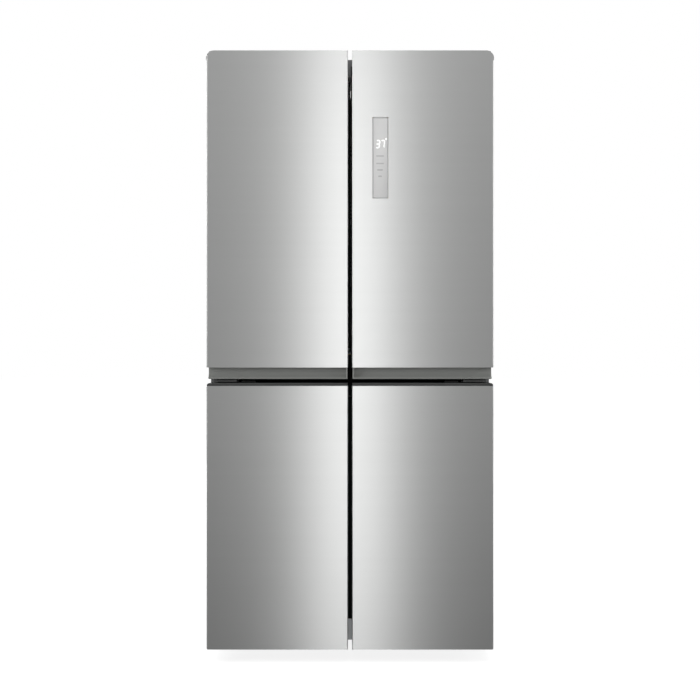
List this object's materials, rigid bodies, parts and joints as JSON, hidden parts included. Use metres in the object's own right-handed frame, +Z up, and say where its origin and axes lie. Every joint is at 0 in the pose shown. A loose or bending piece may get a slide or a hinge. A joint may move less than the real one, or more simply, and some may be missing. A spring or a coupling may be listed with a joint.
{
  "type": "french door refrigerator",
  "caption": "Free-standing refrigerator with paired fridge doors above paired freezer doors, brushed steel fronts, recessed handle grooves and a slim touch panel.",
  "frame": {"origin": "on the floor, at the bottom centre of the bounding box", "axes": "+Z up, -Y is the side of the doors, +X to the right when facing the doors"},
  "size_m": [0.7972, 0.7, 1.706],
  "materials": {
    "stainless": "vertical-lit brushed stainless with a fine horizontal grain",
    "cabinet_paint": "fine-textured dark grey enamel",
    "galvanised": "plain galvanised sheet",
    "trim_plastic": "dark grey moulded plastic with a fine texture",
    "liner_plastic": "white vacuum-formed plastic",
    "clear_plastic": "clear moulded plastic",
    "drawer_plastic": "frosted white moulded plastic",
    "insulation": "rigid foamed insulation",
    "seal_rubber": "soft dark grey ribbed seal",
    "panel_face": "light grey satin overlay with white marks",
    "board": "green circuit board",
    "flap_paint": "satin black enamel",
    "shelf_glass": "tempered clear glass",
    "lamp": "opal diffuser",
    "black_enamel": "black enamel",
    "copper": "bare copper tube",
    "aluminium_fin": "mill-finish aluminium",
    "fan_plastic": "black moulded plastic",
    "roller_plastic": "hard black plastic",
    "zinc": "zinc-plated steel",
    "hinge_steel": "dark grey painted steel"
  },
  "bodies": {
    "root": {"outer_wrapper": "cabinet_paint", "back_panel": "galvanised", "base_deck": "galvanised", "fridge_liner": "liner_plastic", "freezer_liner": "liner_plastic", "cabinet_foam": "insulation", "front_rails": "flap_paint", "top_hinge_brackets": "hinge_steel", "top_hinge_covers": "trim_plastic", "middle_hinge_brackets": "hinge_steel", "bottom_hinge_brackets": "hinge_steel", "leveling_feet": "trim_plastic", "compressor": "black_enamel", "condenser_coil": "copper", "evaporator_coil": "aluminium_fin", "evaporator_cover": "liner_plastic", "glass_shelves": "shelf_glass", "ceiling_light": "lamp", "machine_cover": "black_enamel", "fan_motors": "fan_plastic", "cord_gland": "trim_plastic", "screws": "zinc"},
    "left_upper_door": {"left_upper_door_skin": "stainless", "left_upper_door_foam": "insulation", "left_upper_door_liner": "liner_plastic", "left_upper_door_gasket": "seal_rubber", "left_upper_door_handle_cap": "trim_plastic", "left_upper_door_end_cap": "trim_plastic", "left_door_bins": "clear_plastic"},
    "right_upper_door": {"right_upper_door_skin": "stainless", "right_upper_door_foam": "insulation", "right_upper_door_liner": "liner_plastic", "right_upper_door_gasket": "seal_rubber", "right_upper_door_handle_cap": "trim_plastic", "right_upper_door_end_cap": "trim_plastic", "right_door_bins": "clear_plastic", "control_panel": "panel_face", "control_board": "board"},
    "left_lower_door": {"left_lower_door_skin": "stainless", "left_lower_door_foam": "insulation", "left_lower_door_liner": "liner_plastic", "left_lower_door_gasket": "seal_rubber", "left_lower_door_handle_cap": "trim_plastic", "left_lower_door_end_cap": "trim_plastic"},
    "right_lower_door": {"right_lower_door_skin": "stainless", "right_lower_door_foam": "insulation", "right_lower_door_liner": "liner_plastic", "right_lower_door_gasket": "seal_rubber", "right_lower_door_handle_cap": "trim_plastic", "right_lower_door_end_cap": "trim_plastic"},
    "mullion_flap": {"mullion_flap": "flap_paint"},
    "left_crisper": {"left_crisper": "drawer_plastic"},
    "left_freezer_drawer_upper": {"left_freezer_drawer_upper": "drawer_plastic"},
    "left_freezer_drawer_lower": {"left_freezer_drawer_lower": "drawer_plastic"},
    "right_crisper": {"right_crisper": "drawer_plastic"},
    "right_freezer_drawer_upper": {"right_freezer_drawer_upper": "drawer_plastic"},
    "right_freezer_drawer_lower": {"right_freezer_drawer_lower": "drawer_plastic"},
    "condenser_fan": {"condenser_fan": "fan_plastic"},
    "evaporator_fan": {"evaporator_fan": "fan_plastic"},
    "rear_roller_axle": {"rear_roller_axle": "roller_plastic"}
  },
  "joints": [
    {"name": "left_upper_door_hinge", "type": "hinge", "parent": "root", "child": "left_upper_door", "pos_m": [-0.375, -0.32, 1.24], "axis": [0, 0, -1], "range_deg": [0, 120]},
    {"name": "right_upper_door_hinge", "type": "hinge", "parent": "root", "child": "right_upper_door", "pos_m": [0.375, -0.32, 1.24], "axis": [0, 0, 1], "range_deg": [0, 120]},
    {"name": "left_lower_door_hinge", "type": "hinge", "parent": "root", "child": "left_lower_door", "pos_m": [-0.375, -0.32, 0.4], "axis": [0, 0, -1], "range_deg": [0, 120]},
    {"name": "right_lower_door_hinge", "type": "hinge", "parent": "root", "child": "right_lower_door", "pos_m": [0.375, -0.32, 0.4], "axis": [0, 0, 1], "range_deg": [0, 120]},
    {"name": "mullion_flap_fold", "type": "hinge", "parent": "left_upper_door", "child": "mullion_flap", "pos_m": [-0.033, -0.256, 1.25], "axis": [0, 0, 1], "range_deg": [0, 90]},
    {"name": "left_crisper_slide", "type": "slide", "parent": "root", "child": "left_crisper", "axis": [0, -1, 0], "range_m": [0, 0.22]},
    {"name": "left_freezer_drawer_upper_slide", "type": "slide", "parent": "root", "child": "left_freezer_drawer_upper", "axis": [0, -1, 0], "range_m": [0, 0.2]},
    {"name": "left_freezer_drawer_lower_slide", "type": "slide", "parent": "root", "child": "left_freezer_drawer_lower", "axis": [0, -1, 0], "range_m": [0, 0.2]},
    {"name": "right_crisper_slide", "type": "slide", "parent": "root", "child": "right_crisper", "axis": [0, -1, 0], "range_m": [0, 0.22]},
    {"name": "right_freezer_drawer_upper_slide", "type": "slide", "parent": "root", "child": "right_freezer_drawer_upper", "axis": [0, -1, 0], "range_m": [0, 0.2]},
    {"name": "right_freezer_drawer_lower_slide", "type": "slide", "parent": "root", "child": "right_freezer_drawer_lower", "axis": [0, -1, 0], "range_m": [0, 0.2]},
    {"name": "condenser_fan_spin", "type": "hinge", "parent": "root", "child": "condenser_fan", "pos_m": [0.02, 0.23, 0.17], "axis": [1, 0, 0], "continuous": true},
    {"name": "evaporator_fan_spin", "type": "hinge", "parent": "root", "child": "evaporator_fan", "pos_m": [0, 0.24, 0.69], "axis": [0, 1, 0], "continuous": true},
    {"name": "rear_roller_spin", "type": "hinge", "parent": "root", "child": "rear_roller_axle", "pos_m": [0, 0.295, 0.0215], "axis": [1, 0, 0], "continuous": true}
  ],
  "couplings": [
    {"joint": "left_crisper_slide", "follows": "left_upper_door_hinge", "m_per_rad": 0.105},
    {"joint": "left_freezer_drawer_upper_slide", "follows": "left_lower_door_hinge", "m_per_rad": 0.0954},
    {"joint": "left_freezer_drawer_lower_slide", "follows": "left_lower_door_hinge", "m_per_rad": 0.0954},
    {"joint": "right_crisper_slide", "follows": "right_upper_door_hinge", "m_per_rad": 0.105},
    {"joint": "right_freezer_drawer_upper_slide", "follows": "right_lower_door_hinge", "m_per_rad": 0.0954},
    {"joint": "right_freezer_drawer_lower_slide", "follows": "right_lower_door_hinge", "m_per_rad": 0.0954}
  ]
}
